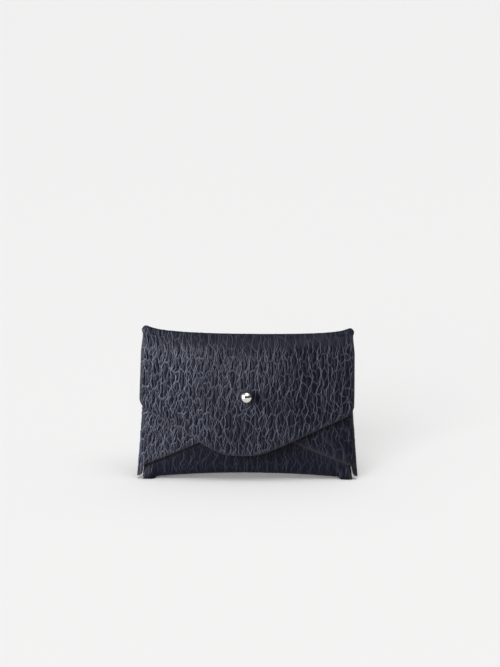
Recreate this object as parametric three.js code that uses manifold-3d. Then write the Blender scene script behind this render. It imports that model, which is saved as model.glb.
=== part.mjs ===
// Small leather card holder. One cross-shaped blank is folded round the cards: the bottom flap and
// the two side flaps lie over each other in front, and a ball stud screwed through all three holds
// them. The closure flap comes over the top and buttons on the ball.
// Millimetres, +Z up. The front faces -Y. The origin is the bottom centre of the whole holder.
import * as THREE from "three";
import { mergeVertices } from "three/addons/utils/BufferGeometryUtils.js";
import Module from "manifold-3d";

const wasm = await Module();
wasm.setup();

// The blank
const bodyWidth = 104.5; // across the middle of the body
const bodyHeight = 72.5; // floor to the top of the fold at its middle
const leather = 1.3; // thickness of the leather
const layerGap = 0.3; // free space between two layers lying on each other
const seamGap = 0.24 * leather; // free space between two panels that meet at a fold line

// The filled shape: half depths of the pocket, measured from the fold plane to the leather
const edgeBack = 1.5;
const crownBack = 6.2;
const edgeFront = 0.5;
const crownFront = 3.4;
const crownPowerX = 4; // higher keeps the pocket deep nearer to its sides
const crownPowerZ = 3.5;
const crownDrop = 2; // the deepest point lies this far below the middle of the panels

// Folds
const foldTopZ = 6.5; // where the bottom fold ends and the panels start
const bottomRise = 2.7; // how far the middle of the bottom edge stands off the floor
const footBack = 2.4; // the flattened ends it stands on reach this far back from the fold plane
const footFront = 3.4; // and this far forward
const footLength = 5.2; // length of each flattened end
const footRamp = 3.5; // over this length they run into the arch
const cornerGap = 1.4; // free space between an end of the bottom fold and the side fold
const footPress = 1.5; // how hard they are pressed flat: 1 leaves them round
const leanBack = 2.6; // degrees; it leans until its weight is over its feet
const sideReach = 2.3; // how far a side fold rolls out past its panels
const sideFlare = 3.1; // how much wider the sides are at the bottom corners
const flareHeight = 40;
const flareCurve = 1.2; // above 1 the sides curve outwards
const lobeRoot = 0.7; // the side folds and side flaps start this far above the bottom fold
const lobeDrop = 5.4; // how far a side fold's rounded end hangs below its root
const lobeCurve = 0.35; // below 1 the lobe is squarer
const rollRadius = 1.7; // middle of the leather, at the ridge of the top fold
const rollDepth = 6.5; // this far below the ridge the leather has reached its full depth
const topFoldDepth = 5; // the top fold ends and the closure flap starts this far down
const leftEarRise = 1.45; // each ear is a short tip on a long slope
const leftEarSpread = 4;
const leftSlopeRise = 3.2;
const leftSlopeSpread = 20;
const rightEarRise = 1.6;
const rightEarSpread = 3.5;
const rightSlopeRise = 2.15;
const rightSlopeSpread = 17;
const earCorner = 2.5; // rounding of the ears' outer corners

// Closure flap
const flapTipZ = 13.3;
const flapTipLeft = 11; // the blunt tip runs this far to the left of the middle
const flapTipRight = 6.5;
const flapSlopeLeft = 30; // degrees
const flapSlopeRight = 24.2;
const flapTipSoftness = 2.4; // length over which the tip rounds into the slopes
const flapCorner = 4;
const flapOverhang = 0.6; // the flap is this much wider than the body on each side
const flapFlare = 0.5; // and grows by this much more at its corners
const flapSkew = 0.35; // its corners sit this far to the left
const settleX = 38; // outside this the flap lies on one layer of side flap, further in on two
const settleLength = 20;
const liftReach = 24; // the stud's flange lifts the flap over this distance around it
const liftRamp = 18;
const hingeGap = 0.5; // free space across the hinge line

// Front flaps under the closure
const sideFlapSlope = 25; // degrees, lower edges
const sideFlapTip = 10; // they reach this far past the stud
const sideFlapRound = 9; // radius of their tips
const climbStart = 30; // this far left of the middle the left flap starts to climb over the right one
const climbLength = 18;
const bottomFlapRise = 9; // the bottom flap ends this far above the stud
const bottomFlapTipHalf = 14; // half width of its upper end
const bottomFlapInset = 2.2; // its sides start this far in from the ends of the bottom fold

// Ball stud and its screw
const studX = -0.6;
const studZ = 0.6 * bodyHeight;
const ballRadius = 3;
const neckRadius = 1.7;
const neckLength = 1.5;
const flangeRadius = 3.6;
const flangeThickness = 0.6;
const postRadius = 2;
const threadRadius = 1.25;
const threadClearance = 0.2;
const screwHeadRadius = 3.8;
const screwHeadThickness = 0.9;
const slotWidth = 0.8;
const slotDepth = 0.45;
const holeClearance = 0.3; // between the post and the holes in the flaps
const keyholeClearance = 0.45; // between the ball and the keyhole it passes
const keyholeDrop = 1.8; // the keyhole is this much longer downwards, for the flap's swing

const radians = THREE.MathUtils.degToRad;
const half = leather / 2;
const pitch = leather + layerGap;
const ridgeZ = bodyHeight - half;
const splitZ = ridgeZ - topFoldDepth;
const leanSlope = Math.tan(radians(leanBack));
const sideTopZ = ridgeZ - rollDepth; // side folds and side flaps end under the top fold
const middleZ = (ridgeZ + foldTopZ) / 2 - crownDrop;
const rootZ = foldTopZ + lobeRoot;

const bulgeShare = 0.75; // a cubic turn reaches this share of its handles
const crowding = 0.8; // how far the columns of a wide sheet crowd towards its ends

const lerp = THREE.MathUtils.lerp;
const ease = (t) => THREE.MathUtils.smoothstep(t, 0, 1);

// From -1 to 1 over a sheet's width, with the steps finer near its ends.
const crowded = (u) => Math.sin((u - 0.5) * Math.PI * crowding) / Math.sin(Math.PI * crowding * 0.5);

// 1 in the middle of the pocket, falling to 0 at its edges.
function fullness(x, z) {
  const across = 1 - Math.abs(x / (bodyWidth / 2)) ** crownPowerX;
  const up = 1 - Math.abs((z - middleZ) / (ridgeZ - middleZ)) ** crownPowerZ;
  return Math.max(0, across) * Math.max(0, up);
}

const backFace = (x, z) => lerp(edgeBack, crownBack, fullness(x, z));
const frontFace = (x, z) => lerp(edgeFront, crownFront, fullness(x, z));

// Depth from the fold plane to the middle of a layer of leather lying on a face of the pocket.
function layerDepth(face, x, z, layer) {
  const step = 0.5;
  const slopeX = (face(x + step, z) - face(x - step, z)) / (2 * step);
  const slopeZ = (face(x, z + step) - face(x, z - step)) / (2 * step);
  return face(x, z) + (half + layer * pitch) * Math.hypot(1, slopeX, slopeZ);
}

const backDepth = (x, z) => layerDepth(backFace, x, z, 0);
const bottomFlapDepth = (x, z) => layerDepth(frontFace, x, z, 0);
const rightFlapDepth = (x, z) => layerDepth(frontFace, x, z, 1);
// The left flap climbs over the right one's tip.
const leftFlapDepth = (x, z) => layerDepth(frontFace, x, z, 1 + ease((x + climbStart) / climbLength));

// The closure flap lies on the side flaps, and is lifted by the stud's flange.
function closureDepth(x, z) {
  const layer = 2 + ease((settleX - Math.abs(x)) / settleLength);
  const fromStud = Math.hypot(x - studX, z - studZ);
  const lift = (flangeThickness + layerGap) * ease((liftReach - fromStud) / liftRamp);
  return layerDepth(frontFace, x, z, layer) + lift;
}

// Half width of the body at a height: nearly straight, flaring out to the bottom corners.
function bodyHalf(z) {
  const flare = Math.max(0, 1 - z / flareHeight) ** flareCurve;
  return bodyWidth / 2 + sideFlare * flare;
}

const panelHalf = (z) => bodyHalf(z) - half - sideReach;

// The ridge of the top fold, middle of the leather: level, with an ear at each end.
function ridge(x) {
  const end = bodyWidth / 2;
  const fromEnd = (side) => Math.max(0, end - earCorner / 2 - side * x);
  const ear = (rise, spread, side) => rise * Math.exp(-fromEnd(side) / spread);
  const left = ear(leftEarRise, leftEarSpread, -1) + ear(leftSlopeRise, leftSlopeSpread, -1);
  const right = ear(rightEarRise, rightEarSpread, 1) + ear(rightSlopeRise, rightSlopeSpread, 1);
  const past = Math.max(0, Math.abs(x) - end + earCorner) / earCorner;
  const corner = earCorner * (1 - Math.sqrt(1 - Math.min(past, 0.97) ** 2));
  return ridgeZ + left + right - corner;
}

// Near the ridge both leaves of the fold close in to the ridge's own radius.
function rollDepthAt(depth, x, z) {
  const below = THREE.MathUtils.clamp((ridge(x) - z) / rollRadius, 0, 1);
  const round = rollRadius * Math.sqrt(1 - (1 - below) ** 2);
  const spread = THREE.MathUtils.clamp((ridgeZ - z) / rollDepth, 0, 1);
  return round + (depth(x, z) - rollRadius) * (1 - (1 - spread) ** 2);
}

// The whole holder leans back: depths are laid off from the leaning fold plane.
const leaning = (point) => point.setY(point.y + leanSlope * point.z);

// A closed solid of the leather's thickness, on the middle surface at(u, v), u and v from 0 to 1.
function leatherSheet(at, across, along) {
  const points = [];
  for (let i = 0; i <= across; i += 1) {
    for (let j = 0; j <= along; j += 1) {
      points.push(leaning(new THREE.Vector3(...at(i / across, j / along))));
    }
  }
  const index = (i, j) => i * (along + 1) + j;
  const skins = [[], []];
  for (let i = 0; i <= across; i += 1) {
    for (let j = 0; j <= along; j += 1) {
      const du = points[index(Math.min(i + 1, across), j)].clone();
      du.sub(points[index(Math.max(i - 1, 0), j)]);
      const dv = points[index(i, Math.min(j + 1, along))].clone();
      dv.sub(points[index(i, Math.max(j - 1, 0))]);
      const normal = du.cross(dv).normalize().multiplyScalar(half);
      skins[0].push(points[index(i, j)].clone().add(normal));
      skins[1].push(points[index(i, j)].clone().sub(normal));
    }
  }
  const count = points.length;
  const triangles = [];
  const quad = (a, b, c, d) => triangles.push(a, b, c, a, c, d);
  for (let i = 0; i < across; i += 1) {
    for (let j = 0; j < along; j += 1) {
      const corners = [index(i, j), index(i + 1, j), index(i + 1, j + 1), index(i, j + 1)];
      quad(...corners);
      quad(...corners.reverse().map((corner) => corner + count));
    }
  }
  const rim = [];
  for (let i = 0; i < across; i += 1) rim.push(index(i, 0));
  for (let j = 0; j < along; j += 1) rim.push(index(across, j));
  for (let i = across; i > 0; i -= 1) rim.push(index(i, along));
  for (let j = along; j > 0; j -= 1) rim.push(index(0, j));
  rim.forEach((corner, k) => {
    const next = rim[(k + 1) % rim.length];
    quad(corner, corner + count, next + count, next);
  });
  const geometry = new THREE.BufferGeometry();
  const flat = skins.flat().flatMap((point) => point.toArray());
  geometry.setAttribute("position", new THREE.Float32BufferAttribute(flat, 3));
  geometry.setIndex(triangles);
  return facingOut(geometry);
}

// Turns a closed mesh's faces outwards.
function facingOut(geometry) {
  const position = geometry.getAttribute("position");
  const index = geometry.getIndex();
  const corner = [new THREE.Vector3(), new THREE.Vector3(), new THREE.Vector3()];
  let volume = 0;
  for (let i = 0; i < index.count; i += 3) {
    corner.forEach((point, k) => point.fromBufferAttribute(position, index.getX(i + k)));
    volume += corner[0].dot(corner[1].cross(corner[2]));
  }
  if (volume < 0) {
    for (let i = 0; i < index.count; i += 3) {
      const first = index.getX(i);
      index.setX(i, index.getX(i + 1));
      index.setX(i + 1, first);
    }
  }
  return geometry;
}

function toSolid(geometry) {
  const bare = geometry.clone();
  bare.deleteAttribute("normal");
  bare.deleteAttribute("uv");
  const merged = mergeVertices(bare, 1e-4);
  const vertProperties = new Float32Array(merged.getAttribute("position").array);
  const triVerts = new Uint32Array(merged.getIndex().array);
  return new wasm.Manifold(new wasm.Mesh({ numProp: 3, vertProperties, triVerts }));
}

function toGeometry(solid) {
  const mesh = solid.getMesh();
  const geometry = new THREE.BufferGeometry();
  geometry.setAttribute("position", new THREE.BufferAttribute(mesh.vertProperties, 3));
  geometry.setIndex(new THREE.BufferAttribute(mesh.triVerts, 1));
  return geometry;
}

const cut = (geometry, tool) => toGeometry(toSolid(geometry).subtract(toSolid(tool)));

// A round bar along Y through the stud's place, long enough to pass every layer.
function throughStud(radius, drop) {
  const barReach = 20;
  const outline = new THREE.Shape();
  outline.absarc(0, 0, radius, 0, Math.PI);
  outline.absarc(0, -drop, radius, Math.PI, 2 * Math.PI);
  const bar = new THREE.ExtrudeGeometry(outline, {
    depth: 2 * barReach,
    bevelEnabled: false,
    curveSegments: 12,
  });
  bar.rotateX(Math.PI / 2);
  bar.translate(studX, barReach + leanSlope * studZ, studZ);
  return bar;
}

// Panels and flaps

function backPanel() {
  const at = (u, v) => {
    const z = lerp(foldTopZ + seamGap / 2, splitZ - seamGap / 2, v);
    const x = (2 * u - 1) * (panelHalf(z) - seamGap / 2);
    return [x, backDepth(x, z), z];
  };
  return leatherSheet(at, 20, 14);
}

// Lower outline of the closure flap: two slopes that round into a blunt tip.
function closureEdge(x, halfWidth) {
  const soft = (t) => flapTipSoftness * Math.log(1 + Math.exp(t / flapTipSoftness));
  const left = Math.tan(radians(flapSlopeLeft)) * soft(-x - flapTipLeft);
  const right = Math.tan(radians(flapSlopeRight)) * soft(x - flapTipRight);
  const past = Math.max(0, Math.abs(x) - halfWidth + flapCorner) / flapCorner;
  const corner = flapCorner * (1 - Math.sqrt(1 - Math.min(past, 0.98) ** 2));
  return flapTipZ + left + right + corner;
}

function closureFlap() {
  const halfWidth = bodyWidth / 2 + flapOverhang;
  const topZ = splitZ - hingeGap;
  const at = (u, v) => {
    const across = crowded(u);
    const z = lerp(topZ, closureEdge(across * halfWidth, halfWidth), v);
    const grown = (topZ - z) / (topZ - studZ);
    const x = across * (halfWidth + flapFlare * Math.min(grown, 1)) - flapSkew * grown;
    return [x, -rollDepthAt(closureDepth, x, z), z];
  };
  const keyhole = throughStud(ballRadius + keyholeClearance, keyholeDrop);
  return cut(leatherSheet(at, 26, 14), keyhole);
}

// side is -1 for the left flap and 1 for the right one.
function sideFlap(side, depth) {
  const topZ = sideTopZ;
  const rootX = panelHalf(rootZ);
  const tipX = side * studX - sideFlapTip;
  const reach = rootX - tipX;
  const lowerSlope = Math.tan(radians(sideFlapSlope));
  const lowAtTip = Math.min(rootZ + lowerSlope * reach, studZ - sideFlapRound);
  const upperSlope = (topZ - studZ - sideFlapRound) / reach;
  const at = (u, v) => {
    const inward = u * reach;
    const past = Math.max(0, inward - reach + sideFlapRound) / sideFlapRound;
    const round = sideFlapRound * (1 - Math.sqrt(1 - Math.min(past, 0.97) ** 2));
    const low = lerp(rootZ, lowAtTip, u) + round;
    const high = topZ - upperSlope * inward - round;
    const z = lerp(low, high, v);
    const rootHere = panelHalf(z) - seamGap / 2;
    const x = side * lerp(rootHere, tipX, u);
    return [x, -depth(x, z), z];
  };
  return cut(leatherSheet(at, 14, 10), throughStud(postRadius + holeClearance, 0));
}

function bottomFlap() {
  const lowZ = foldTopZ + seamGap / 2;
  const tipZ = studZ + bottomFlapRise;
  const rootHalf = panelHalf(lowZ) - bottomFlapInset;
  const at = (u, v) => {
    const z = lerp(lowZ, tipZ, v);
    const x = (2 * u - 1) * lerp(rootHalf, bottomFlapTipHalf, v);
    return [x, -bottomFlapDepth(x, z), z];
  };
  return cut(leatherSheet(at, 18, 8), throughStud(postRadius + holeClearance, 0));
}

// Folds

// A fold turns from one leaf to the other along a cubic curve.
function turn(path, t) {
  return new THREE.CubicBezierCurve(...path.map((point) => new THREE.Vector2(...point))).getPoint(t);
}

// Rolls from the back panel round to a side flap; its lower end hangs down as a rounded lobe.
function sideFold(side, depth) {
  const step = 1;
  const at = (u, v) => {
    const lobe = rootZ - lobeDrop * Math.sin(Math.PI * u) ** lobeCurve;
    const z = lerp(lobe, sideTopZ, v);
    const x = panelHalf(Math.max(z, 0)) + seamGap / 2;
    const back = backDepth(side * x, z);
    const front = depth(side * x, z);
    const backSlope = (back - backDepth(side * (x - step), z)) / step;
    const frontSlope = (front - depth(side * (x - step), z)) / step;
    const handle = (sideReach - seamGap / 2) / bulgeShare;
    const path = [
      [x, back],
      [x + handle, back + backSlope * handle],
      [x + handle, -front - frontSlope * handle],
      [x, -front],
    ];
    const out = turn(path, u);
    return [side * out.x, out.y, z];
  };
  return leatherSheet(at, 8, 16);
}

// Rolls under the pocket from the back panel to the bottom flap. Its middle arches off the floor,
// and its ends are pressed flat: the holder stands on them.
function bottomFold() {
  const end = bodyHalf(foldTopZ) - leather - cornerGap;
  const z = foldTopZ - seamGap / 2;
  const across = 26;
  const inner = end - footLength;
  const perFoot = 3;
  const at = (u, v) => {
    const column = Math.round((u - 0.5) * across);
    const pastInner = Math.max(0, Math.abs(column) - across / 2 + perFoot) / perFoot;
    const inside = Math.min(1, Math.abs(column) / (across / 2 - perFoot));
    const x = Math.sign(column) * (inner * inside + footLength * pastInner);
    const foot = ease((Math.abs(x) - inner + footRamp) / footRamp);
    const arch = bottomRise * (1 - foot) * (1 - (x / end) ** 2);
    const back = backDepth(x, z);
    const front = bottomFlapDepth(x, z);
    const backSpread = Math.max(0, footBack + half - back) * foot * 2;
    const frontSpread = Math.max(0, footFront + half - front) * foot * 2;
    const handle = ((z - half - arch) / bulgeShare) * lerp(1, footPress, foot);
    const path = [
      [back, z],
      [back + backSpread, z - handle],
      [-front - frontSpread, z - handle],
      [-front, z],
    ];
    const out = turn(path, v);
    return [x, out.x, Math.max(out.y, half)];
  };
  return leatherSheet(at, across, 14);
}

// The top fold runs from the back panel over the ridge and down in front to the hinge line.
function topFold() {
  const end = bodyWidth / 2 - seamGap / 2;
  const at = (u, v) => {
    const across = crowded(u);
    const x = across * end;
    const turned = 2 * v - 1;
    const depth = turned < 0 ? backDepth : closureDepth;
    const round = Math.min(Math.abs(turned) / 0.5, 1);
    const down = Math.max(0, Math.abs(turned) - 0.5) / 0.5;
    const start = ridge(x) - rollRadius * (1 - Math.cos((round * Math.PI) / 2));
    const z = lerp(start, splitZ + seamGap / 2, down);
    const y = turned === 0 ? 0 : -Math.sign(turned) * rollDepthAt(depth, x, z);
    return [x, y, z];
  };
  return leatherSheet(at, 26, 12);
}

// Stud and screw: turned pieces. Distances run outwards from the fold plane, along -Y.
const flapsInner = frontFace(studX, studZ);
const flapsOuter = flapsInner + 2 * pitch + leather;
const flangeInner = flapsOuter + layerGap;
const flangeOuter = flangeInner + flangeThickness;
const ballDrop = Math.sqrt(ballRadius ** 2 - neckRadius ** 2); // from the neck's end to the centre
const ballCentre = flangeOuter + neckLength + ballDrop;
const headOuter = flapsInner - layerGap;
const headInner = headOuter - screwHeadThickness;
const boreEnd = flangeInner;
const shankEnd = boreEnd - layerGap;

function turnedPiece(profile) {
  const outline = profile.map(([radius, out]) => new THREE.Vector2(radius, -out));
  const piece = new THREE.LatheGeometry(outline, 24);
  piece.translate(studX, leanSlope * studZ, studZ);
  piece.deleteAttribute("normal");
  piece.deleteAttribute("uv");
  return toGeometry(toSolid(facingOut(mergeVertices(piece, 1e-4))));
}

function studBall() {
  const bore = threadRadius + threadClearance;
  const profile = [
    [0, boreEnd],
    [bore, boreEnd],
    [bore, flapsInner],
    [postRadius, flapsInner],
    [postRadius, flangeInner],
    [flangeRadius, flangeInner],
    [flangeRadius, flangeOuter],
    [neckRadius, flangeOuter],
  ];
  const steps = 9;
  const neckAngle = Math.asin(neckRadius / ballRadius);
  for (let i = 0; i <= steps; i += 1) {
    const angle = lerp(neckAngle, Math.PI, i / steps);
    const radius = i === steps ? 0 : ballRadius * Math.sin(angle);
    profile.push([radius, ballCentre - ballRadius * Math.cos(angle)]);
  }
  return turnedPiece(profile);
}

function studScrew() {
  const edge = 0.25;
  const screw = turnedPiece([
    [0, headInner],
    [screwHeadRadius - edge, headInner],
    [screwHeadRadius, headInner + edge],
    [screwHeadRadius, headOuter],
    [threadRadius, headOuter],
    [threadRadius, shankEnd - edge],
    [threadRadius - edge, shankEnd],
    [0, shankEnd],
  ]);
  const slot = new THREE.BoxGeometry(2 * screwHeadRadius + 1, 2 * slotDepth, slotWidth);
  slot.translate(studX, leanSlope * studZ - headInner, studZ);
  return cut(screw, slot);
}

const leatherLook = new THREE.MeshStandardMaterial({ color: 0x23262f, roughness: 0.5 });
const nickelLook = new THREE.MeshStandardMaterial({
  color: 0xc4c2bc,
  roughness: 0.18,
  metalness: 1,
});

const pieces = {
  back_panel: [backPanel(), leatherLook],
  bottom_fold: [bottomFold(), leatherLook],
  bottom_flap: [bottomFlap(), leatherLook],
  left_fold: [sideFold(-1, leftFlapDepth), leatherLook],
  left_flap: [sideFlap(-1, leftFlapDepth), leatherLook],
  right_fold: [sideFold(1, rightFlapDepth), leatherLook],
  right_flap: [sideFlap(1, rightFlapDepth), leatherLook],
  top_fold: [topFold(), leatherLook],
  closure_flap: [closureFlap(), leatherLook],
  ball_stud: [studBall(), nickelLook],
  stud_screw: [studScrew(), nickelLook],
};

const holder = new THREE.Group();
for (const [name, [geometry, look]] of Object.entries(pieces)) {
  const mesh = new THREE.Mesh(geometry, look);
  mesh.name = name;
  holder.add(mesh);
}

// The fold plane stands where the box's bottom centre is the origin.
const box = new THREE.Box3().setFromObject(holder);
const middle = box.getCenter(new THREE.Vector3());
holder.position.set(-middle.x, -middle.y, -box.min.z);

export default holder;
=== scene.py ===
import math

import bmesh
import bpy
import numpy as np
from mathutils import Matrix, Vector, kdtree


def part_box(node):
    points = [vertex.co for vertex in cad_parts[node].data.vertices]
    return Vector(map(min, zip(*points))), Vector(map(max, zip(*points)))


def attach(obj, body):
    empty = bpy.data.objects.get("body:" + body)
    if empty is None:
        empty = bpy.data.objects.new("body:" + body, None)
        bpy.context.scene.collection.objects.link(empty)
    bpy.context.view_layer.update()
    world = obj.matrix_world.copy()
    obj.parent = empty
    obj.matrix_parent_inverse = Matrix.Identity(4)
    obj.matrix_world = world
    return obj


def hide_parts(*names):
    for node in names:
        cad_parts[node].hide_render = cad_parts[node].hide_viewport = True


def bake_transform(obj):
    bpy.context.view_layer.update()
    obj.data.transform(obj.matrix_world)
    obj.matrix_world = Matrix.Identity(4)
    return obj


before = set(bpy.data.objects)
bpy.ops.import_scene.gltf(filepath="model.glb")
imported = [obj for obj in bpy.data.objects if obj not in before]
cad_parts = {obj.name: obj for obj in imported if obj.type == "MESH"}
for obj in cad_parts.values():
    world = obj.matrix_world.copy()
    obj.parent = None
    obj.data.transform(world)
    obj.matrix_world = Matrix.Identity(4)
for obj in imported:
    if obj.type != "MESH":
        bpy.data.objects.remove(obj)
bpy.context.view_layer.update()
print("frame loaded")

scene = bpy.context.scene
mm = 0.001

# Camera

lens = {
    "length": 109.3,
    "distance": 1.0,  # metres
    "elevation": 10.1,  # degrees
    "roll": 0.25,
    "aimX": 0.0010,
    "aimZ": 0.0740,
}


def placeCamera():
    data = bpy.data.cameras.new("productCamera")
    data.lens = lens["length"]
    camera = bpy.data.objects.new("productCamera", data)
    scene.collection.objects.link(camera)
    tilt = math.radians(lens["elevation"])
    aim = Vector((lens["aimX"], 0, lens["aimZ"]))
    back = Vector((0, -math.cos(tilt), math.sin(tilt)))
    turn = Matrix.Rotation(math.pi / 2 - tilt, 4, "X") @ Matrix.Rotation(math.radians(lens["roll"]), 4, "Z")
    camera.matrix_world = Matrix.Translation(aim + back * lens["distance"]) @ turn
    scene.camera = camera


placeCamera()
print("camera placed")

# Studio: pale floor, soft key from the left, large light overhead, weak side and back lights

studio = {
    "floorHalf": 30.0,
    "floorTone": 0.86,
    "keyPower": 10.5,  # watts, a softbox low on the left that is flagged off the floor
    "keyPlace": (-0.44, -0.25, 0.20),
    "keyWidth": 0.30,
    "keyHeight": 0.40,
    "sideStrength": 0.05,  # what of the key reaches the floor
    "sideTurn": -60,
    "sideRise": 24,
    "sideSoftness": 30,
    "topStrength": 1.38,
    "topTurn": 15,  # degrees round from the front
    "topRise": 72,
    "topSoftness": 50,
    "backStrength": 0.03,
    "backTurn": 165,
    "backRise": 55,
    "backSoftness": 60,
    "lowStrength": 2.5,  # onto the floor only, reaching under the arch of the bottom fold
    "lowTurn": -15,
    "lowRise": 16,
    "lowSoftness": 40,
    "backdrop": 0.87,
    "horizon": 0.06,
    "gradientStart": 0.40,
    "gradientEnd": 0.72,
    "ceiling": 0.56,
}


holderPieces = bpy.data.collections.new("holderPieces")
floorOnly = bpy.data.collections.new("floorOnly")


def addSun(name):
    data = bpy.data.lights.new(name + "Light", "SUN")
    data.energy = studio[name + "Strength"]
    data.angle = math.radians(studio[name + "Softness"])
    sun = bpy.data.objects.new(name + "Light", data)
    scene.collection.objects.link(sun)
    turn, rise = math.radians(studio[name + "Turn"]), math.radians(studio[name + "Rise"])
    towards = Vector((math.sin(turn) * math.cos(rise), -math.cos(turn) * math.cos(rise), math.sin(rise)))
    sun.rotation_mode = "QUATERNION"
    sun.rotation_quaternion = towards.to_track_quat("Z", "Y")
    return sun


def addSoftbox():
    data = bpy.data.lights.new("keyLight", "AREA")
    data.energy = studio["keyPower"]
    data.shape = "RECTANGLE"
    data.size, data.size_y = studio["keyWidth"], studio["keyHeight"]
    softbox = bpy.data.objects.new("keyLight", data)
    scene.collection.objects.link(softbox)
    softbox.location = studio["keyPlace"]
    softbox.rotation_mode = "QUATERNION"
    softbox.rotation_quaternion = (Vector(studio["keyPlace"]) - Vector((0, 0, 0.04))).to_track_quat("Z", "Y")
    softbox.light_linking.receiver_collection = holderPieces


def layFloor():
    bm = bmesh.new()
    bmesh.ops.create_grid(bm, x_segments=4, y_segments=4, size=studio["floorHalf"])
    mesh = bpy.data.meshes.new("floor")
    bm.to_mesh(mesh)
    bm.free()
    floor = bpy.data.objects.new("floor", mesh)
    scene.collection.objects.link(floor)
    paper = bpy.data.materials.new("paleFloor")
    paper.use_nodes = True
    shader = paper.node_tree.nodes["Principled BSDF"]
    tone = studio["floorTone"]
    shader.inputs["Base Color"].default_value = (tone, tone, tone, 1)
    shader.inputs["Roughness"].default_value = 0.9
    shader.inputs["Specular IOR Level"].default_value = 0.1
    mesh.materials.append(paper)
    floorOnly.objects.link(floor)


def lightWorld():
    world = bpy.data.worlds.new("studioRoom")
    scene.world = world
    world.use_nodes = True
    nodes, links = world.node_tree.nodes, world.node_tree.links
    nodes.clear()
    out = nodes.new("ShaderNodeOutputWorld")
    room = nodes.new("ShaderNodeBackground")
    seen = nodes.new("ShaderNodeBackground")
    mix = nodes.new("ShaderNodeMixShader")
    path = nodes.new("ShaderNodeLightPath")
    direction = nodes.new("ShaderNodeTexCoord")
    split = nodes.new("ShaderNodeSeparateXYZ")
    ramp = nodes.new("ShaderNodeValToRGB")
    low, high = studio["horizon"], studio["ceiling"]
    ramp.color_ramp.elements[0].position = studio["gradientStart"]
    ramp.color_ramp.elements[0].color = (low, low, low * 1.05, 1)
    ramp.color_ramp.elements[1].position = studio["gradientEnd"]
    ramp.color_ramp.elements[1].color = (high, high * 0.995, high * 0.985, 1)
    links.new(direction.outputs["Generated"], split.inputs[0])
    links.new(split.outputs["Z"], ramp.inputs["Fac"])
    links.new(ramp.outputs["Color"], room.inputs["Color"])
    tone = studio["backdrop"]
    seen.inputs["Color"].default_value = (tone, tone, tone, 1)
    links.new(path.outputs["Is Camera Ray"], mix.inputs[0])
    links.new(room.outputs[0], mix.inputs[1])
    links.new(seen.outputs[0], mix.inputs[2])
    links.new(mix.outputs[0], out.inputs["Surface"])


scene.view_settings.view_transform = "Standard"
layFloor()
lightWorld()
addSoftbox()
for name in ("side", "top", "back"):
    addSun(name)
lowSun = addSun("low")
lowSun.light_linking.receiver_collection = floorOnly
print("studio ready")

# The folded shape, in millimetres. Depths run from the fold plane, which leans back.

holder = {
    "width": 104.5,
    "height": 72.5,
    "leather": 1.3,
    "layerGap": 0.3,
    "edgeBack": 1.5,
    "crownBack": 6.2,
    "edgeFront": 0.5,
    "crownFront": 3.4,
    "crownPowerX": 4,
    "crownPowerZ": 3.5,
    "crownDrop": 2,
    "climbStart": 30,  # left of here the left flap lies on one layer, further right on two
    "climbLength": 18,
    "settleX": 38,  # outside this the closure lies on one layer of side flap
    "settleLength": 20,
    "liftReach": 24,  # the flange lifts the closure this far round the stud
    "liftRamp": 18,
    "foldTop": 6.5,
    "topFold": 5.0,
    "lean": 2.6,
    "sideReach": 2.3,
    "sideFlare": 3.1,
    "flareHeight": 40.0,
    "flareCurve": 1.2,
    "lobeRoot": 0.7,
    "rollRadius": 1.7,
    "rollDepth": 6.5,
    "leftEar": ((1.45, 4.0), (3.2, 20.0)),  # rise and spread of its tip and of its long slope
    "rightEar": ((1.6, 3.5), (2.15, 17.0)),
    "earCorner": 2.5,
    "studX": -0.6,
    "studZ": 0.6,  # of the height
    "flange": 0.6,
    "flangeRadius": 3.6,
}
endX = holder["width"] / 2
half = holder["leather"] / 2
pitch = holder["leather"] + holder["layerGap"]
ridgeZ = holder["height"] - half
splitZ = ridgeZ - holder["topFold"]
sideTopZ = ridgeZ - holder["rollDepth"]
foldTop = holder["foldTop"]
middleZ = (ridgeZ + foldTop) / 2 - holder["crownDrop"]
leanSlope = math.tan(math.radians(holder["lean"]))
studX, studZ = holder["studX"], holder["studZ"] * holder["height"]
rootZ = foldTop + holder["lobeRoot"]
rollEndX = endX - 0.15
bulgeShare = 0.75  # a cubic turn reaches this share of its handles


def ease(t):
    t = np.clip(t, 0, 1)
    return t * t * (3 - 2 * t)


def mixed(a, b, t):
    return a + (b - a) * t


def fullness(x, z):
    across = 1 - np.abs(x / endX) ** holder["crownPowerX"]
    up = 1 - np.abs((z - middleZ) / (ridgeZ - middleZ)) ** holder["crownPowerZ"]
    return np.maximum(0, across) * np.maximum(0, up)


def backFace(x, z):
    return mixed(holder["edgeBack"], holder["crownBack"], fullness(x, z))


def frontFace(x, z):
    return mixed(holder["edgeFront"], holder["crownFront"], fullness(x, z))


def layerDepth(face, x, z, layer):
    step = 0.5
    slopeX = (face(x + step, z) - face(x - step, z)) / (2 * step)
    slopeZ = (face(x, z + step) - face(x, z - step)) / (2 * step)
    return face(x, z) + (half + layer * pitch) * np.sqrt(1 + slopeX**2 + slopeZ**2)


def backDepth(x, z):
    return layerDepth(backFace, x, z, 0)


def bottomFlapDepth(x, z):
    return layerDepth(frontFace, x, z, 0)


def rightFlapDepth(x, z):
    return layerDepth(frontFace, x, z, 1)


def leftFlapDepth(x, z):
    return layerDepth(frontFace, x, z, 1 + ease((x + holder["climbStart"]) / holder["climbLength"]))


def closureDepth(x, z):
    layer = 2 + ease((holder["settleX"] - np.abs(x)) / holder["settleLength"])
    fromStud = np.hypot(x - studX, z - studZ)
    near = ease((holder["liftReach"] - fromStud) / holder["liftRamp"])
    lift = (holder["flange"] + holder["layerGap"]) * near
    return layerDepth(frontFace, x, z, layer) + lift


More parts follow.
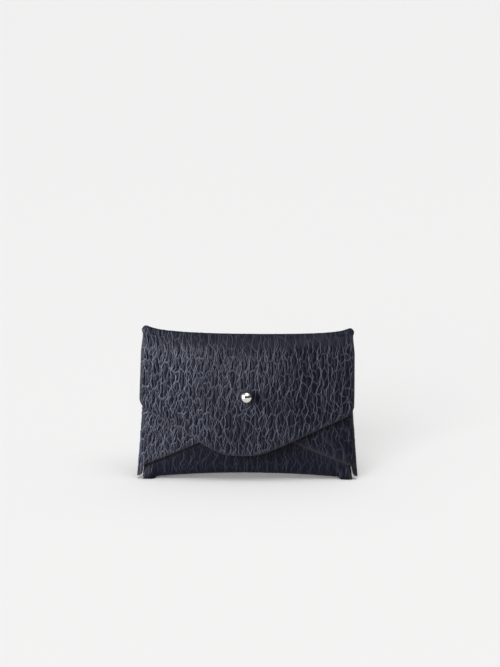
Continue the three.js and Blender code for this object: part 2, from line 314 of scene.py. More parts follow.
def panelHalf(z):
    flare = np.maximum(0, 1 - z / holder["flareHeight"]) ** holder["flareCurve"]
    return endX + holder["sideFlare"] * flare - half - holder["sideReach"]


def ridge(x):
    rise = 0
    for side, name in ((-1, "left"), (1, "right")):
        fromEnd = np.maximum(0, endX - holder["earCorner"] / 2 - side * x)
        for height, spread in holder[name + "Ear"]:
            rise = rise + height * np.exp(-fromEnd / spread)
    past = np.maximum(0, np.abs(x) - endX + holder["earCorner"]) / holder["earCorner"]
    corner = holder["earCorner"] * (1 - np.sqrt(1 - np.minimum(past, 0.97) ** 2))
    return ridgeZ + rise - corner


def rollDepthAt(depth, x, z):
    radius = holder["rollRadius"]
    below = np.clip((ridge(x) - z) / radius, 0, 1)
    rounding = radius * np.sqrt(1 - (1 - below) ** 2)
    spread = np.clip((ridgeZ - z) / holder["rollDepth"], 0, 1)
    return rounding + (depth(x, z) - radius) * (1 - (1 - spread) ** 2)


def cubic(a, b, c, d, t):
    return a * (1 - t) ** 3 + 3 * b * t * (1 - t) ** 2 + 3 * c * t**2 * (1 - t) + d * t**3


# The stud's inner end is in the frame, so the fold plane's place follows from it.
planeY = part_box("ball_stud")[1].y / mm + frontFace(studX, studZ) - leanSlope * studZ
print("fold plane at", round(planeY, 4))


def leaning(x, y, z):
    return np.stack([x, y + planeY + leanSlope * z, z], axis=1)


# Panels and folds of the blank. Each gives points and the place in the flat blank.

body = {
    "across": 208,
    "backRows": 66,
    "foldRows": 18,
    "flapRows": 52,
    "sideTurn": 18,
    "sideColumns": 116,
    "lobeDrop": 5.8,
    "lobeCurve": 0.24,
    "flapSlope": 25.0,  # degrees, the side flaps' lower edges
    "flapTip": 10.0,
    "flapRound": 9.0,
    "bottomRise": 2.7,
    "cornerGap": 0.1,
    "footLength": 5.2,
    "footRamp": 2.8,
    "footBack": 2.4,
    "footFront": 2.7,
    "footPress": 1.5,
    "bottomFlapRise": 9.0,
    "bottomFlapTip": 14.0,
    "bottomFlapInset": 0.9,
    "underLength": 11.0,  # leather in the bottom fold
    "turnLength": 9.0,  # leather in a side fold
}


def backHalf(z):
    return mixed(panelHalf(z), rollEndX, ease((z - sideTopZ - 0.2) / 1.3))


def backPart(low, high):
    def place(u, v):
        z = mixed(low, high, v)
        x = (2 * u - 1) * backHalf(z)
        return leaning(x, rollDepthAt(backDepth, x, z), z), np.stack([x, z, 0 * z], axis=1)

    return place


def bottomFold(u, v):
    across = 2 * u - 1
    start = panelHalf(foldTop)
    end = start + half + holder["sideReach"] - holder["leather"] - body["cornerGap"]
    reach = mixed(start, end, ease(v / 0.3)) - (end - start + body["bottomFlapInset"]) * ease((v - 0.68) / 0.32)
    x = across * reach
    inner = end - body["footLength"]
    foot = ease((np.abs(x) - inner + body["footRamp"]) / body["footRamp"])
    arch = body["bottomRise"] * (1 - foot) * np.maximum(0, 1 - (x / end) ** 2)
    back = backDepth(x, foldTop)
    front = bottomFlapDepth(x, foldTop)
    backSpread = np.maximum(0, body["footBack"] + half - back) * foot * 2
    frontSpread = np.maximum(0, body["footFront"] + half - front) * foot * 2
    handle = (foldTop - half - arch) / bulgeShare * mixed(1, body["footPress"], foot)
    y = cubic(back, back + backSpread, -front - frontSpread, -front, v)
    z = np.maximum(cubic(foldTop, foldTop - handle, foldTop - handle, foldTop, v), half)
    x = x - np.sign(x) * 0.9 * ease((np.abs(across) - 0.93) / 0.07) * np.clip(1 - (z - half) / 2.4, 0, 1) ** 2
    return leaning(x, y, z), np.stack([x, foldTop - v * body["underLength"], 0 * x], axis=1)


def bottomFlap(u, v):
    z = mixed(foldTop, studZ + body["bottomFlapRise"], v)
    wide = panelHalf(foldTop) - body["bottomFlapInset"]
    x = (2 * u - 1) * mixed(wide, body["bottomFlapTip"], v)
    flat = np.stack([x, 2 * foldTop - body["underLength"] - z, 0 * z], axis=1)
    return leaning(x, -bottomFlapDepth(x, z), z), flat


def sideFold(side, depth):
    def place(u, v):
        lobe = rootZ - body["lobeDrop"] * np.sin(np.pi * np.clip(u, 0, 1)) ** body["lobeCurve"]
        z = mixed(lobe, sideTopZ, v)
        x = panelHalf(np.maximum(z, 0))
        back, front = backDepth(side * x, z), depth(side * x, z)
        backSlope = back - backDepth(side * (x - 1), z)
        frontSlope = front - depth(side * (x - 1), z)
        handle = holder["sideReach"] / bulgeShare
        outX = cubic(x, x + handle, x + handle, x, u)
        y = cubic(back, back + backSlope * handle, -front - frontSlope * handle, -front, u)
        flat = np.stack([side * (x + u * body["turnLength"]), z, 0 * z], axis=1)
        return leaning(side * outX, y, z), flat

    return place


def sideFlap(side, depth):
    def place(u, v):
        rootX = panelHalf(rootZ)
        tipX = side * studX - body["flapTip"]
        reach = rootX - tipX
        radius = body["flapRound"]
        lowAtTip = min(rootZ + math.tan(math.radians(body["flapSlope"])) * reach, studZ - radius)
        upperSlope = (sideTopZ - studZ - radius) / reach
        inward = u * reach
        past = np.maximum(0, inward - reach + radius) / radius
        rounding = radius * (1 - np.sqrt(1 - np.minimum(past, 0.97) ** 2))
        low = mixed(rootZ, lowAtTip, u) + rounding
        high = sideTopZ - upperSlope * inward - rounding
        z = mixed(low, high, v)
        x = mixed(panelHalf(z), tipX, u)
        flat = np.stack([side * (2 * panelHalf(z) + body["turnLength"] - x), z, 0 * z], axis=1)
        return leaning(side * x, -depth(side * x, z), z), flat

    return place


closure = {
    "across": 240,
    "backRows": 12,
    "rollRows": 14,
    "frontRows": 140,
    "overhang": 0.6,
    "flare": 0.5,
    "skew": 0.35,
    "tipZ": 13.3,
    "tipLeft": 11.0,
    "tipRight": 6.5,
    "slopeLeft": 30.0,
    "slopeRight": 24.2,
    "tipSoftness": 2.4,
    "corner": 4.0,
    "holeRadius": 2.45,
    "slitLength": 2.3,
    "slitHalf": 0.07,
}


def closureEdge(x, halfWidth):
    soft = lambda t: closure["tipSoftness"] * np.log1p(np.exp(t / closure["tipSoftness"]))
    left = math.tan(math.radians(closure["slopeLeft"])) * soft(-x - closure["tipLeft"])
    right = math.tan(math.radians(closure["slopeRight"])) * soft(x - closure["tipRight"])
    past = np.maximum(0, np.abs(x) - halfWidth + closure["corner"]) / closure["corner"]
    corner = closure["corner"] * (1 - np.sqrt(1 - np.minimum(past, 0.98) ** 2))
    return closure["tipZ"] + left + right + corner


def topPart(u, v):
    across = 2 * u - 1
    x = across * rollEndX
    radius = holder["rollRadius"]
    rows = closure["backRows"] + closure["rollRows"] + closure["frontRows"]
    row = np.round(v * rows)
    toRoll = np.clip(row / closure["backRows"], 0, 1)
    angle = (np.clip((row - closure["backRows"]) / closure["rollRows"], 0, 1) - 0.5) * np.pi
    down = np.clip((row - closure["backRows"] - closure["rollRows"]) / closure["frontRows"], 0, 1)
    backZ = mixed(splitZ, ridge(x) - radius, toRoll)
    rollZ = ridge(x) - radius * (1 - np.cos(angle))
    z = np.where(row < closure["backRows"], backZ, rollZ)
    y = -np.sin(angle)
    y = np.sign(y) * rollDepthAt(backDepth, x, z)
    frontY = -rollDepthAt(closureDepth, x, z)
    y = np.where(angle > 1e-6, frontY, np.where(angle < -1e-6, np.abs(y), 0))
    wide = endX + closure["overhang"]
    startZ = ridge(x) - radius
    frontZ = mixed(startZ, closureEdge(across * wide, wide), down)
    grown = np.clip((splitZ - frontZ) / (splitZ - studZ), 0, 2)
    widening = mixed(rollEndX, wide, ease((startZ - frontZ) / 9))
    frontX = across * (widening + closure["flare"] * np.minimum(grown, 1))
    frontX = frontX - closure["skew"] * grown
    isFront = down > 0
    x = np.where(isFront, frontX, x)
    z = np.where(isFront, frontZ, z)
    y = np.where(isFront, -rollDepthAt(closureDepth, x, z), y)
    toTurn = ridge(x) - radius - splitZ
    inFront = radius * np.pi + toTurn + (startZ - frontZ)
    overTop = toTurn + (angle + np.pi / 2) * radius
    around = np.where(isFront, inFront, np.where(row <= closure["backRows"], z - splitZ, overTop))
    return leaning(x, y, z), np.stack([x, splitZ + around, 0 * x], axis=1)


# Sheet building

edgeLook = {"bevel": 0.2, "segments": 2}


def laySheet(strips):
    bm = bmesh.new()
    flat = bm.verts.layers.float_vector.new("flat")
    for across, along, place in strips:
        grid = bmesh.ops.create_grid(bm, x_segments=across, y_segments=along, size=0.5)["verts"]
        spots = np.array([vert.co[:2] for vert in grid]) + 0.5
        points, places = place(np.round(spots[:, 0] * across) / across, np.round(spots[:, 1] * along) / along)
        for vert, point, spot in zip(grid, points * mm, places):
            vert.co = point
            vert[flat] = spot
    bmesh.ops.remove_doubles(bm, verts=bm.verts, dist=0.00002)
    bmesh.ops.recalc_face_normals(bm, faces=bm.faces)
    return bm


def faceOutwards(bm, spot, outward):
    nearest = min(bm.faces, key=lambda face: (face.calc_center_median() - spot).length)
    if nearest.normal.dot(outward) < 0:
        bmesh.ops.reverse_faces(bm, faces=bm.faces)


def cutKeyhole(bm):
    radius, reach = closure["holeRadius"] * mm, closure["slitLength"] * mm
    centreX, centreZ = studX * mm, studZ * mm
    slitHalf = closure["slitHalf"] * mm

    def fromHole(co):
        return math.hypot(co.x - centreX, co.z - centreZ)

    def inSlit(co):
        return abs(co.x - centreX) < 0.00027 and centreZ - radius - reach < co.z < centreZ

    front = [face for face in bm.faces if face.normal.y < -0.5]
    centres = [(face, face.calc_center_median()) for face in front]
    gone = [face for face, spot in centres if fromHole(spot) < radius or inSlit(spot)]
    rim = {vert for face in gone for vert in face.verts}
    bmesh.ops.delete(bm, geom=gone, context="FACES")
    for vert in rim:
        if not vert.is_valid:
            continue
        out = fromHole(vert.co)
        if vert.co.z > centreZ - radius * 0.93 or abs(vert.co.x - centreX) > 0.0006:
            vert.co.x = centreX + (vert.co.x - centreX) * radius / out
            vert.co.z = centreZ + (vert.co.z - centreZ) * radius / out
        else:
            taper = min(1, max(0.15, (vert.co.z - centreZ + radius + reach) / reach))
            vert.co.x = centreX + math.copysign(slitHalf * taper, vert.co.x - centreX)


def thicken(bm, seam):
    bm.normal_update()
    middle = bm.verts.layers.float_vector.new("middle")
    outward = bm.verts.layers.float_vector.new("outward")
    outer = set(bm.verts)
    for vert in outer:
        vert[middle] = vert.co
        vert[outward] = vert.normal
    bmesh.ops.solidify(bm, geom=bm.faces[:], thickness=holder["leather"] * mm)
    for vert in bm.verts:
        away = half if vert in outer else -half
        vert.co = vert[middle] + vert[outward] * away * mm
    for face in bm.faces:
        count = sum(vert in outer for vert in face.verts)
        face.material_index = 0 if count == len(face.verts) else 1 if count == 0 else 2
    rims = []
    for edge in bm.edges:
        kinds = {face.material_index for face in edge.link_faces}
        if len(kinds) > 1:
            if seam and all(seam(vert[middle]) for vert in edge.verts):
                edge.smooth = False
            else:
                rims.append(edge)
    bmesh.ops.bevel(
        bm, geom=rims, offset=edgeLook["bevel"] * mm, offset_type="OFFSET", affect="EDGES",
        segments=edgeLook["segments"], profile=0.5, material=-1, clamp_overlap=True,
    )
    bmesh.ops.recalc_face_normals(bm, faces=bm.faces)
    bm.verts.layers.float_vector.remove(bm.verts.layers.float_vector["middle"])
    bm.verts.layers.float_vector.remove(bm.verts.layers.float_vector["outward"])


# Grain: long meandering creases over a network of pebbles. The same nodes raise the mesh and
# colour it with a painted highlight along the creases, so both agree.

grain = {
    "spacing": (4.3, 5.1),  # of the two families of long creases
    "slant": (0.10, -0.16),
    "meander": (1.5, 1.8),
    "meanderWidth": 24.0,
    "meanderLength": 9.0,
    "creaseHalf": 0.22,
    "cellWidth": 1.8,
    "cellLength": 6.6,
    "cellSway": 0.32,
    "cellShare": 0.42,
    "creaseRise": 0.21,  # millimetres
    "pebbleRise": 0.15,
    "wrinkleScale": 2.3,
}


def mathNode(tree, operation, *values, clamp=False):
    node = tree.nodes.new("ShaderNodeMath")
    node.operation = operation
    node.use_clamp = clamp
    for socket, value in zip(node.inputs, values):
        if isinstance(value, (int, float)):
            socket.default_value = value
        else:
            tree.links.new(value, socket)
    return node.outputs[0]


def drawGrain(tree, flat):
    nodes, links = tree.nodes, tree.links

    def vectorMath(operation, first, second):
        node = nodes.new("ShaderNodeVectorMath")
        node.operation = operation
        for socket, value in zip(node.inputs, (first, second)):
            if isinstance(value, tuple):
                socket.default_value = value
            else:
                links.new(value, socket)
        return node.outputs["Value" if operation == "DOT_PRODUCT" else "Vector"]

    def noiseAt(place, detail):
        noise = nodes.new("ShaderNodeTexNoise")
        noise.noise_dimensions = "2D"
        noise.inputs["Scale"].default_value = 1
        noise.inputs["Detail"].default_value = detail
        links.new(place, noise.inputs["Vector"])
        return noise

    def ranged(value, low, high, first, last):
        node = nodes.new("ShaderNodeMapRange")
        node.interpolation_type = "SMOOTHSTEP"
        links.new(value, node.inputs["Value"])
        for name, bound in (("From Min", low), ("From Max", high), ("To Min", first), ("To Max", last)):
            node.inputs[name].default_value = bound
        return node.outputs["Result"]

    def longCreases(index):
        spacing = grain["spacing"][index]
        across = vectorMath("DOT_PRODUCT", flat, (1 / spacing, grain["slant"][index] / spacing, 0))
        size = (1 / grain["meanderWidth"], 1 / grain["meanderLength"], 0)
        place = vectorMath("ADD", vectorMath("MULTIPLY", flat, size), (17.0 * index + 5.0, 0, 0))
        swayed = mathNode(tree, "MULTIPLY_ADD", noiseAt(place, 2.0).outputs[0], grain["meander"][index], across)
        away = mathNode(tree, "PINGPONG", swayed, 0.5)
        return ranged(away, 0, grain["creaseHalf"] / spacing, 1, 0)

    wander = noiseAt(vectorMath("MULTIPLY", flat, (0.22, 0.18, 0)), 2.0).outputs["Color"]
    sway = vectorMath("SUBTRACT", wander, (0.5, 0.5, 0.5))
    sway = vectorMath("MULTIPLY", sway, (grain["cellSway"] * 2, grain["cellSway"], 0))
    cellSize = (1 / grain["cellWidth"], 1 / grain["cellLength"], 0)
    place = vectorMath("ADD", vectorMath("MULTIPLY", flat, cellSize), sway)
    cells = nodes.new("ShaderNodeTexVoronoi")
    cells.voronoi_dimensions = "2D"
    cells.feature = "DISTANCE_TO_EDGE"
    cells.inputs["Scale"].default_value = 1
    links.new(place, cells.inputs["Vector"])
    short = ranged(cells.outputs["Distance"], 0, 0.10, grain["cellShare"], 0)
    pebble = ranged(cells.outputs["Distance"], 0.04, 0.45, 0, 1)
    long = mathNode(tree, "MAXIMUM", longCreases(0), longCreases(1))
    return mathNode(tree, "MAXIMUM", long, short), pebble, place


def raiseTree():
    tree = bpy.data.node_groups.new("raiseGrain", "GeometryNodeTree")
    for side in ("INPUT", "OUTPUT"):
        tree.interface.new_socket("Geometry", in_out=side, socket_type="NodeSocketGeometry")
    nodes, links = tree.nodes, tree.links
    start, end = nodes.new("NodeGroupInput"), nodes.new("NodeGroupOutput")
    flat = nodes.new("GeometryNodeInputNamedAttribute")
    flat.data_type = "FLOAT_VECTOR"
    flat.inputs["Name"].default_value = "flat"
    reliefAndHighlight = nodes.new("GeometryNodeInputNamedAttribute")
    reliefAndHighlight.data_type = "FLOAT"
    reliefAndHighlight.inputs["Name"].default_value = "raise"
    crease, pebble = drawGrain(tree, flat.outputs["Attribute"])[:2]

    def times(first, second, operation="MULTIPLY"):
        node = nodes.new("ShaderNodeMath")
        node.operation = operation
        for socket, value in zip(node.inputs, (first, second)):
            if isinstance(value, float):
                socket.default_value = value
            else:
                links.new(value, socket)
        return node.outputs[0]

    height = times(times(crease, grain["creaseRise"] * mm), times(pebble, grain["pebbleRise"] * mm), "ADD")
    lift = nodes.new("ShaderNodeVectorMath")
    lift.operation = "SCALE"
    normal = nodes.new("GeometryNodeInputNormal")
    links.new(normal.outputs[0], lift.inputs[0])
    links.new(times(height, reliefAndHighlight.outputs["Attribute"]), lift.inputs["Scale"])
    move = nodes.new("GeometryNodeSetPosition")
    links.new(start.outputs[0], move.inputs["Geometry"])
    links.new(lift.outputs[0], move.inputs["Offset"])
    links.new(move.outputs[0], end.inputs[0])
    return tree


grainRaiser = raiseTree()


def finishLeather(bm, name, strengthAt, materials):
    for face in bm.faces:
        face.smooth = True
    mesh = bpy.data.meshes.new(name)
    bm.to_mesh(mesh)
    bm.free()
    count = len(mesh.vertices)
    rimPoints = np.zeros(count, bool)
    grainPoints = np.ones(count, bool)
    for face in mesh.polygons:
        if face.material_index != 0:
            grainPoints[list(face.vertices)] = False
        if face.material_index == 2:
            rimPoints[list(face.vertices)] = True
    flat = np.zeros(count * 3, np.float32)
    mesh.attributes["flat"].data.foreach_get("vector", flat)
    flat = flat.reshape(-1, 3)
    points = np.zeros(count * 3, np.float32)
    mesh.vertices.foreach_get("co", points)
    points = points.reshape(-1, 3)
    reliefAndHighlight = strengthAt(flat[:, 0], flat[:, 1], points / mm)
    rimTree = kdtree.KDTree(int(rimPoints.sum()))
    for place in np.nonzero(rimPoints)[0]:
        rimTree.insert(points[place], int(place))
    rimTree.balance()
    near = np.array([rimTree.find(point)[2] for point in points]) / mm
    settled = reliefAndHighlight * (0.35 + 0.65 * ease(near / 1.6))
    # this attribute scales the painted highlight of the crease lines as well as the relief
    for label, values in (("reliefAndHighlight", settled), ("raise", settled * grainPoints), ("rim", np.exp(-near / 0.8))):
        layer = mesh.attributes.new(label, "FLOAT", "POINT")
        layer.data.foreach_set("value", values.astype(np.float32))
    for material in materials:
        mesh.materials.append(material)
    piece = bpy.data.objects.new(name, mesh)
    scene.collection.objects.link(piece)
    modifier = piece.modifiers.new("grain", "NODES")
    modifier.node_group = grainRaiser
    graph = bpy.context.evaluated_depsgraph_get()
    raised = bpy.data.meshes.new_from_object(
        piece.evaluated_get(graph), preserve_all_data_layers=True, depsgraph=graph
    )
    piece.modifiers.clear()
    piece.data = raised
    raised.name = name
    raised.attributes.remove(raised.attributes["raise"])
    holderPieces.objects.link(piece)
    print(name, "triangles", sum(len(face.vertices) - 2 for face in raised.polygons))
    return piece


# Leather looks. The light crease colour is a painted highlight on the grain ridges.

leatherLook = {
    "cell": (0.0022, 0.0026, 0.0070),
    # crease: light colour of the grain lines, a painted highlight where the ridges catch the key light
    "crease": (0.096, 0.108, 0.142),
    "edge": (0.040, 0.040, 0.047),
    "flesh": (0.026, 0.027, 0.036),
    "roughness": 0.38,
    "gloss": 0.10,  # specular level
}


def newMaterial(name):
    material = bpy.data.materials.new(name)
    material.use_nodes = True
    return material, material.node_tree, material.node_tree.nodes["Principled BSDF"]


def grainGroup():
    tree = bpy.data.node_groups.new("creasedGrain", "ShaderNodeTree")
    tree.interface.new_socket("Flat", in_out="INPUT", socket_type="NodeSocketVector")
    for label in ("Crease", "Pebble", "Wrinkle", "Pores"):
        tree.interface.new_socket(label, in_out="OUTPUT", socket_type="NodeSocketFloat")
    start, end = tree.nodes.new("NodeGroupInput"), tree.nodes.new("NodeGroupOutput")
    crease, pebble, place = drawGrain(tree, start.outputs["Flat"])
    wrinkle = tree.nodes.new("ShaderNodeTexVoronoi")
    wrinkle.voronoi_dimensions = "2D"
    wrinkle.feature = "DISTANCE_TO_EDGE"
    wrinkle.inputs["Scale"].default_value = grain["wrinkleScale"]
    tree.links.new(place, wrinkle.inputs["Vector"])
    fine = tree.nodes.new("ShaderNodeMapRange")
    fine.inputs["From Max"].default_value = 0.25
    tree.links.new(wrinkle.outputs["Distance"], fine.inputs["Value"])
    tree.links.new(fine.outputs["Result"], end.inputs["Wrinkle"])
    pores = tree.nodes.new("ShaderNodeTexNoise")
    pores.noise_dimensions = "2D"
    pores.inputs["Scale"].default_value = 2.6
    pores.inputs["Detail"].default_value = 4
    pores.inputs["Roughness"].default_value = 0.6
    tree.links.new(start.outputs["Flat"], pores.inputs["Vector"])
    tree.links.new(crease, end.inputs["Crease"])
    tree.links.new(pebble, end.inputs["Pebble"])
    tree.links.new(pores.outputs[0], end.inputs["Pores"])
    return tree


creasedGrain = grainGroup()


def mixColour(tree, factor, first, second, blend="MIX"):
    node = tree.nodes.new("ShaderNodeMix")
    node.data_type = "RGBA"
    node.blend_type = blend
    for name, value in (("Factor_Float", factor), ("A_Color", first), ("B_Color", second)):
        socket = next(item for item in node.inputs if item.identifier == name)
        if isinstance(value, tuple):
            socket.default_value = (*value, 1)
        elif isinstance(value, (int, float)):
            socket.default_value = value
        else:
            tree.links.new(value, socket)
    return next(item for item in node.outputs if item.identifier == "Result_Color")


def readAttribute(tree, name):
    node = tree.nodes.new("ShaderNodeAttribute")
    node.attribute_name = name
    return node


def grainMaterial():
    material, tree, shader = newMaterial("navyGrainLeather")
    flat = readAttribute(tree, "flat").outputs["Vector"]
    reliefAndHighlight = readAttribute(tree, "reliefAndHighlight").outputs["Fac"]
    rim = readAttribute(tree, "rim").outputs["Fac"]
    group = tree.nodes.new("ShaderNodeGroup")
    group.node_tree = creasedGrain
    tree.links.new(flat, group.inputs["Flat"])
    broad = tree.nodes.new("ShaderNodeTexNoise")
    broad.inputs["Scale"].default_value = 0.07
    broad.inputs["Detail"].default_value = 3
    tree.links.new(flat, broad.inputs["Vector"])
    uneven = mathNode(tree, "MULTIPLY_ADD", broad.outputs[0], 1.4, 0.1)
    poresUp = mathNode(tree, "MULTIPLY_ADD", group.outputs["Pores"], 1.5, 0.15)
    # the crease lines are painted lighter here, a painted highlight, scaled by the relief map and broken up by noise
    paintedHighlight = mathNode(tree, "MULTIPLY", group.outputs["Crease"], reliefAndHighlight)
    paintedHighlight = mathNode(tree, "MULTIPLY", paintedHighlight, uneven)
    paintedHighlight = mathNode(tree, "MULTIPLY", paintedHighlight, poresUp, clamp=True)
    colour = mixColour(tree, paintedHighlight, leatherLook["cell"], leatherLook["crease"])
    colour = mixColour(tree, mathNode(tree, "MULTIPLY", rim, 0.5), colour, leatherLook["edge"])
    tree.links.new(colour, shader.inputs["Base Color"])
    rough = mathNode(tree, "MULTIPLY_ADD", group.outputs["Pores"], 0.22, leatherLook["roughness"] - 0.11)
    tree.links.new(rough, shader.inputs["Roughness"])
    shader.inputs["Specular IOR Level"].default_value = leatherLook["gloss"]
    height = mathNode(tree, "MULTIPLY", group.outputs["Pebble"], 0.5)
    height = mathNode(tree, "MULTIPLY_ADD", group.outputs["Crease"], 0.7, height)
    height = mathNode(tree, "MULTIPLY_ADD", group.outputs["Wrinkle"], 0.3, height)
    height = mathNode(tree, "MULTIPLY", height, reliefAndHighlight)
    height = mathNode(tree, "MULTIPLY_ADD", group.outputs["Pores"], 0.3, height)
    bump = tree.nodes.new("ShaderNodeBump")
    bump.inputs["Strength"].default_value = 0.9
    bump.inputs["Distance"].default_value = 0.0003
    tree.links.new(height, bump.inputs["Height"])
    tree.links.new(bump.outputs[0], shader.inputs["Normal"])
    return material


def fleshMaterial():
    material, tree, shader = newMaterial("fleshSide")
    flat = readAttribute(tree, "flat").outputs["Vector"]
    fibres = tree.nodes.new("ShaderNodeTexNoise")
    fibres.inputs["Scale"].default_value = 3.5
    fibres.inputs["Detail"].default_value = 6
    fibres.inputs["Roughness"].default_value = 0.7
    tree.links.new(flat, fibres.inputs["Vector"])
    patches = tree.nodes.new("ShaderNodeTexNoise")
    patches.inputs["Scale"].default_value = 0.25
    patches.inputs["Detail"].default_value = 3
    tree.links.new(flat, patches.inputs["Vector"])
    base = leatherLook["flesh"]
    worn = tuple(value * 1.9 for value in base)
    factor = mathNode(tree, "MULTIPLY", patches.outputs[0], 0.4)
    factor = mathNode(tree, "MULTIPLY_ADD", fibres.outputs[0], 0.7, factor)
    factor = mathNode(tree, "SUBTRACT", factor, 0.15, clamp=True)
    tree.links.new(mixColour(tree, factor, base, worn), shader.inputs["Base Color"])
    tree.links.new(mathNode(tree, "MULTIPLY_ADD", fibres.outputs[0], 0.15, 0.8), shader.inputs["Roughness"])
    shader.inputs["Specular IOR Level"].default_value = 0.2
    bump = tree.nodes.new("ShaderNodeBump")
    bump.inputs["Strength"].default_value = 0.8
    bump.inputs["Distance"].default_value = 0.00025
    tree.links.new(fibres.outputs[0], bump.inputs["Height"])
    tree.links.new(bump.outputs[0], shader.inputs["Normal"])
    return material


def edgeMaterial():
    material, tree, shader = newMaterial("finishedEdge")
    place = tree.nodes.new("ShaderNodeTexCoord").outputs["Object"]
    streaks = tree.nodes.new("ShaderNodeTexNoise")
    streaks.inputs["Scale"].default_value = 1800
    streaks.inputs["Detail"].default_value = 4
    tree.links.new(place, streaks.inputs["Vector"])
    base = leatherLook["edge"]
    light = tuple(value * 2.1 for value in base)
    tree.links.new(mixColour(tree, streaks.outputs[0], base, light), shader.inputs["Base Color"])
    tree.links.new(mathNode(tree, "MULTIPLY_ADD", streaks.outputs[0], 0.25, 0.42), shader.inputs["Roughness"])
    shader.inputs["Specular IOR Level"].default_value = 0.35
    bump = tree.nodes.new("ShaderNodeBump")
    bump.inputs["Strength"].default_value = 0.5
    bump.inputs["Distance"].default_value = 0.0001
    tree.links.new(streaks.outputs[0], bump.inputs["Height"])
    tree.links.new(bump.outputs[0], shader.inputs["Normal"])
    return material


leatherMaterials = [grainMaterial(), fleshMaterial(), edgeMaterial()]
print("leather looks ready")


# Scales the relief and the painted highlight of the crease lines by region: the left flap is painted lighter, the
# right flap and the bottom fold and flap darker, painted light and shade from the key on the left.
def bodyReliefAndHighlight(flatX, flatZ, points):
    under = flatZ < foldTop
    reliefAndHighlight = np.where(under, 0.28, 0.85)
    outside = np.abs(flatX) > panelHalf(30)
    reliefAndHighlight = np.where(outside & (flatX > 0) & ~under, 0.5, reliefAndHighlight)
    reliefAndHighlight = np.where(outside & (flatX < 0) & ~under, 1.4, reliefAndHighlight)
    return reliefAndHighlight * ease(points[:, 2] / 2.5)


def closureReliefAndHighlight(flatX, flatZ, points):
    fromRidge = np.abs(flatZ - splitZ - 8.5)
    calm = 0.4 + 0.6 * ease((fromRidge - 2.5) / 7)
    fromStud = np.hypot(points[:, 0] - studX, points[:, 2] - studZ)
    # more relief on the left and less on the right, with the crease lines painted lighter on the left and darker on
    # the right: painted light from the key on the left
    leftHighlightAndRelief = 1 + 0.5 * ease((-flatX - 14) / 25) - 0.2 * ease((flatX - 5) / 30)
    return calm * leftHighlightAndRelief * (0.5 + 0.5 * ease((fromStud - 2.4) / 2))


def makeBody():
    rows = body["backRows"]
    strips = [
        (body["across"], 3, backPart(sideTopZ, splitZ)),
        (body["across"], rows, backPart(rootZ, sideTopZ)),
        (body["across"], 2, backPart(foldTop, rootZ)),
        (body["across"], body["foldRows"], bottomFold),
        (body["across"], body["flapRows"], bottomFlap),
    ]
    for side, depth in ((-1, leftFlapDepth), (1, rightFlapDepth)):
        strips.append((body["sideTurn"], rows, sideFold(side, depth)))
        strips.append((body["sideColumns"], rows, sideFlap(side, depth)))
    bm = laySheet(strips)
    faceOutwards(bm, Vector((0, 0.012, 0.035)), Vector((0, 1, 0)))
    thicken(bm, lambda co: co.z > (splitZ - 0.02) * mm and co.y > planeY * mm)
    piece = finishLeather(bm, "leatherBody", bodyReliefAndHighlight, leatherMaterials)
    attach(piece, "pocket")
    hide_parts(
        "back_panel", "bottom_fold", "bottom_flap", "left_fold", "left_flap", "right_fold", "right_flap"
    )


def makeClosure():
    rows = closure["backRows"] + closure["rollRows"] + closure["frontRows"]
    bm = laySheet([(closure["across"], rows, topPart)])
    faceOutwards(bm, Vector((0.02, -0.006, 0.05)), Vector((0, -1, 0)))
    bm.normal_update()
    cutKeyhole(bm)
    thicken(bm, lambda co: co.z < (splitZ + 0.02) * mm and co.y > planeY * mm + 0.0045)
    piece = finishLeather(bm, "leatherClosure", closureReliefAndHighlight, leatherMaterials)
    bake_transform(piece)
    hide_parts("top_fold", "closure_flap")


makeBody()
print("leather body made")
makeClosure()
print("closure made")

# Nickel ball stud and its screw

stud = {
    "ball": 3.0,
    "neck": 1.7,
    "neckLength": 1.5,
    "post": 2.0,
    "bore": 1.45,
    "steps": 96,
    "arc": 40,
}


def nickelMaterial():
    material, tree, shader = newMaterial("nickelPlate")
    place = tree.nodes.new("ShaderNodeTexCoord").outputs["Object"]
    swirl = tree.nodes.new("ShaderNodeTexNoise")
    swirl.inputs["Scale"].default_value = 900
    swirl.inputs["Detail"].default_value = 5
    tree.links.new(place, swirl.inputs["Vector"])
    handling = tree.nodes.new("ShaderNodeTexNoise")
    handling.inputs["Scale"].default_value = 260
    handling.inputs["Detail"].default_value = 2
    tree.links.new(place, handling.inputs["Vector"])
    tone = mixColour(tree, handling.outputs[0], (0.68, 0.65, 0.60), (0.80, 0.775, 0.73))
    tree.links.new(tone, shader.inputs["Base Color"])
    rough = mathNode(tree, "MULTIPLY_ADD", swirl.outputs[0], 0.08, 0.05)
    tree.links.new(rough, shader.inputs["Roughness"])
    shader.inputs["Metallic"].default_value = 1
    bump = tree.nodes.new("ShaderNodeBump")
    bump.inputs["Strength"].default_value = 0.12
    bump.inputs["Distance"].default_value = 0.00003
    tree.links.new(swirl.outputs[0], bump.inputs["Height"])
    tree.links.new(bump.outputs[0], shader.inputs["Normal"])
    return material


nickel = nickelMaterial()


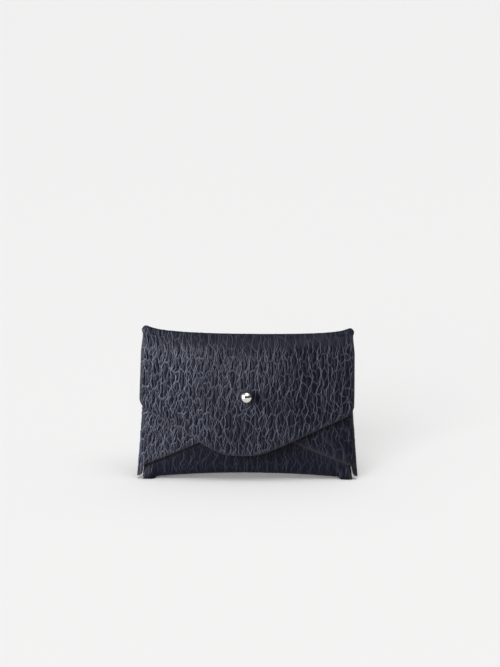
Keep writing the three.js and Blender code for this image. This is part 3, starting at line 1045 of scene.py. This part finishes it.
def makeStud():
    flapsInner = float(frontFace(studX, studZ))
    flangeInner = flapsInner + 2 * pitch + holder["leather"] + holder["layerGap"]
    flangeOuter = flangeInner + holder["flange"]
    drop = math.sqrt(stud["ball"] ** 2 - stud["neck"] ** 2)
    centre = flangeOuter + stud["neckLength"] + drop
    outline = [
        (stud["bore"], flangeInner), (stud["bore"], flapsInner), (stud["post"] - 0.15, flapsInner),
        (stud["post"], flapsInner + 0.15), (stud["post"], flangeInner), (holder["flangeRadius"] - 0.15, flangeInner),
        (holder["flangeRadius"], flangeInner + 0.15), (holder["flangeRadius"], flangeOuter - 0.2),
        (holder["flangeRadius"] - 0.2, flangeOuter), (stud["neck"] + 0.3, flangeOuter),
        (stud["neck"], flangeOuter + 0.3), (stud["neck"], flangeOuter + stud["neckLength"]),
    ]
    start = math.asin(stud["neck"] / stud["ball"])
    for step in range(1, stud["arc"]):
        angle = start + (math.pi - start) * step / stud["arc"]
        outline.append((stud["ball"] * math.sin(angle), centre - stud["ball"] * math.cos(angle)))
    outline = [(0, flangeInner)] + outline + [(0, centre + stud["ball"])]
    bm = bmesh.new()
    verts = [bm.verts.new((radius * mm, -out * mm, 0)) for radius, out in outline]
    edges = [bm.edges.new(pair) for pair in zip(verts, verts[1:])]
    bmesh.ops.spin(
        bm, geom=verts + edges, cent=(0, 0, 0), axis=(0, 1, 0), angle=math.tau, steps=stud["steps"], use_merge=True
    )
    bmesh.ops.remove_doubles(bm, verts=bm.verts, dist=1e-7)
    bmesh.ops.recalc_face_normals(bm, faces=bm.faces)
    shift = Vector((studX, planeY + leanSlope * studZ, studZ)) * mm
    bmesh.ops.translate(bm, verts=bm.verts, vec=shift)
    for face in bm.faces:
        face.smooth = True
    for edge in bm.edges:
        if len(edge.link_faces) == 2 and edge.calc_face_angle(0) > math.radians(35):
            edge.smooth = False
    mesh = bpy.data.meshes.new("ballStud")
    bm.to_mesh(mesh)
    bm.free()
    mesh.materials.append(nickel)
    piece = bpy.data.objects.new("ballStud", mesh)
    scene.collection.objects.link(piece)
    holderPieces.objects.link(piece)
    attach(piece, "pocket")
    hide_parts("ball_stud")


makeStud()
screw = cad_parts["stud_screw"]
if screw.material_slots:
    screw.material_slots[0].material = nickel
else:
    screw.data.materials.append(nickel)
print("stud made")
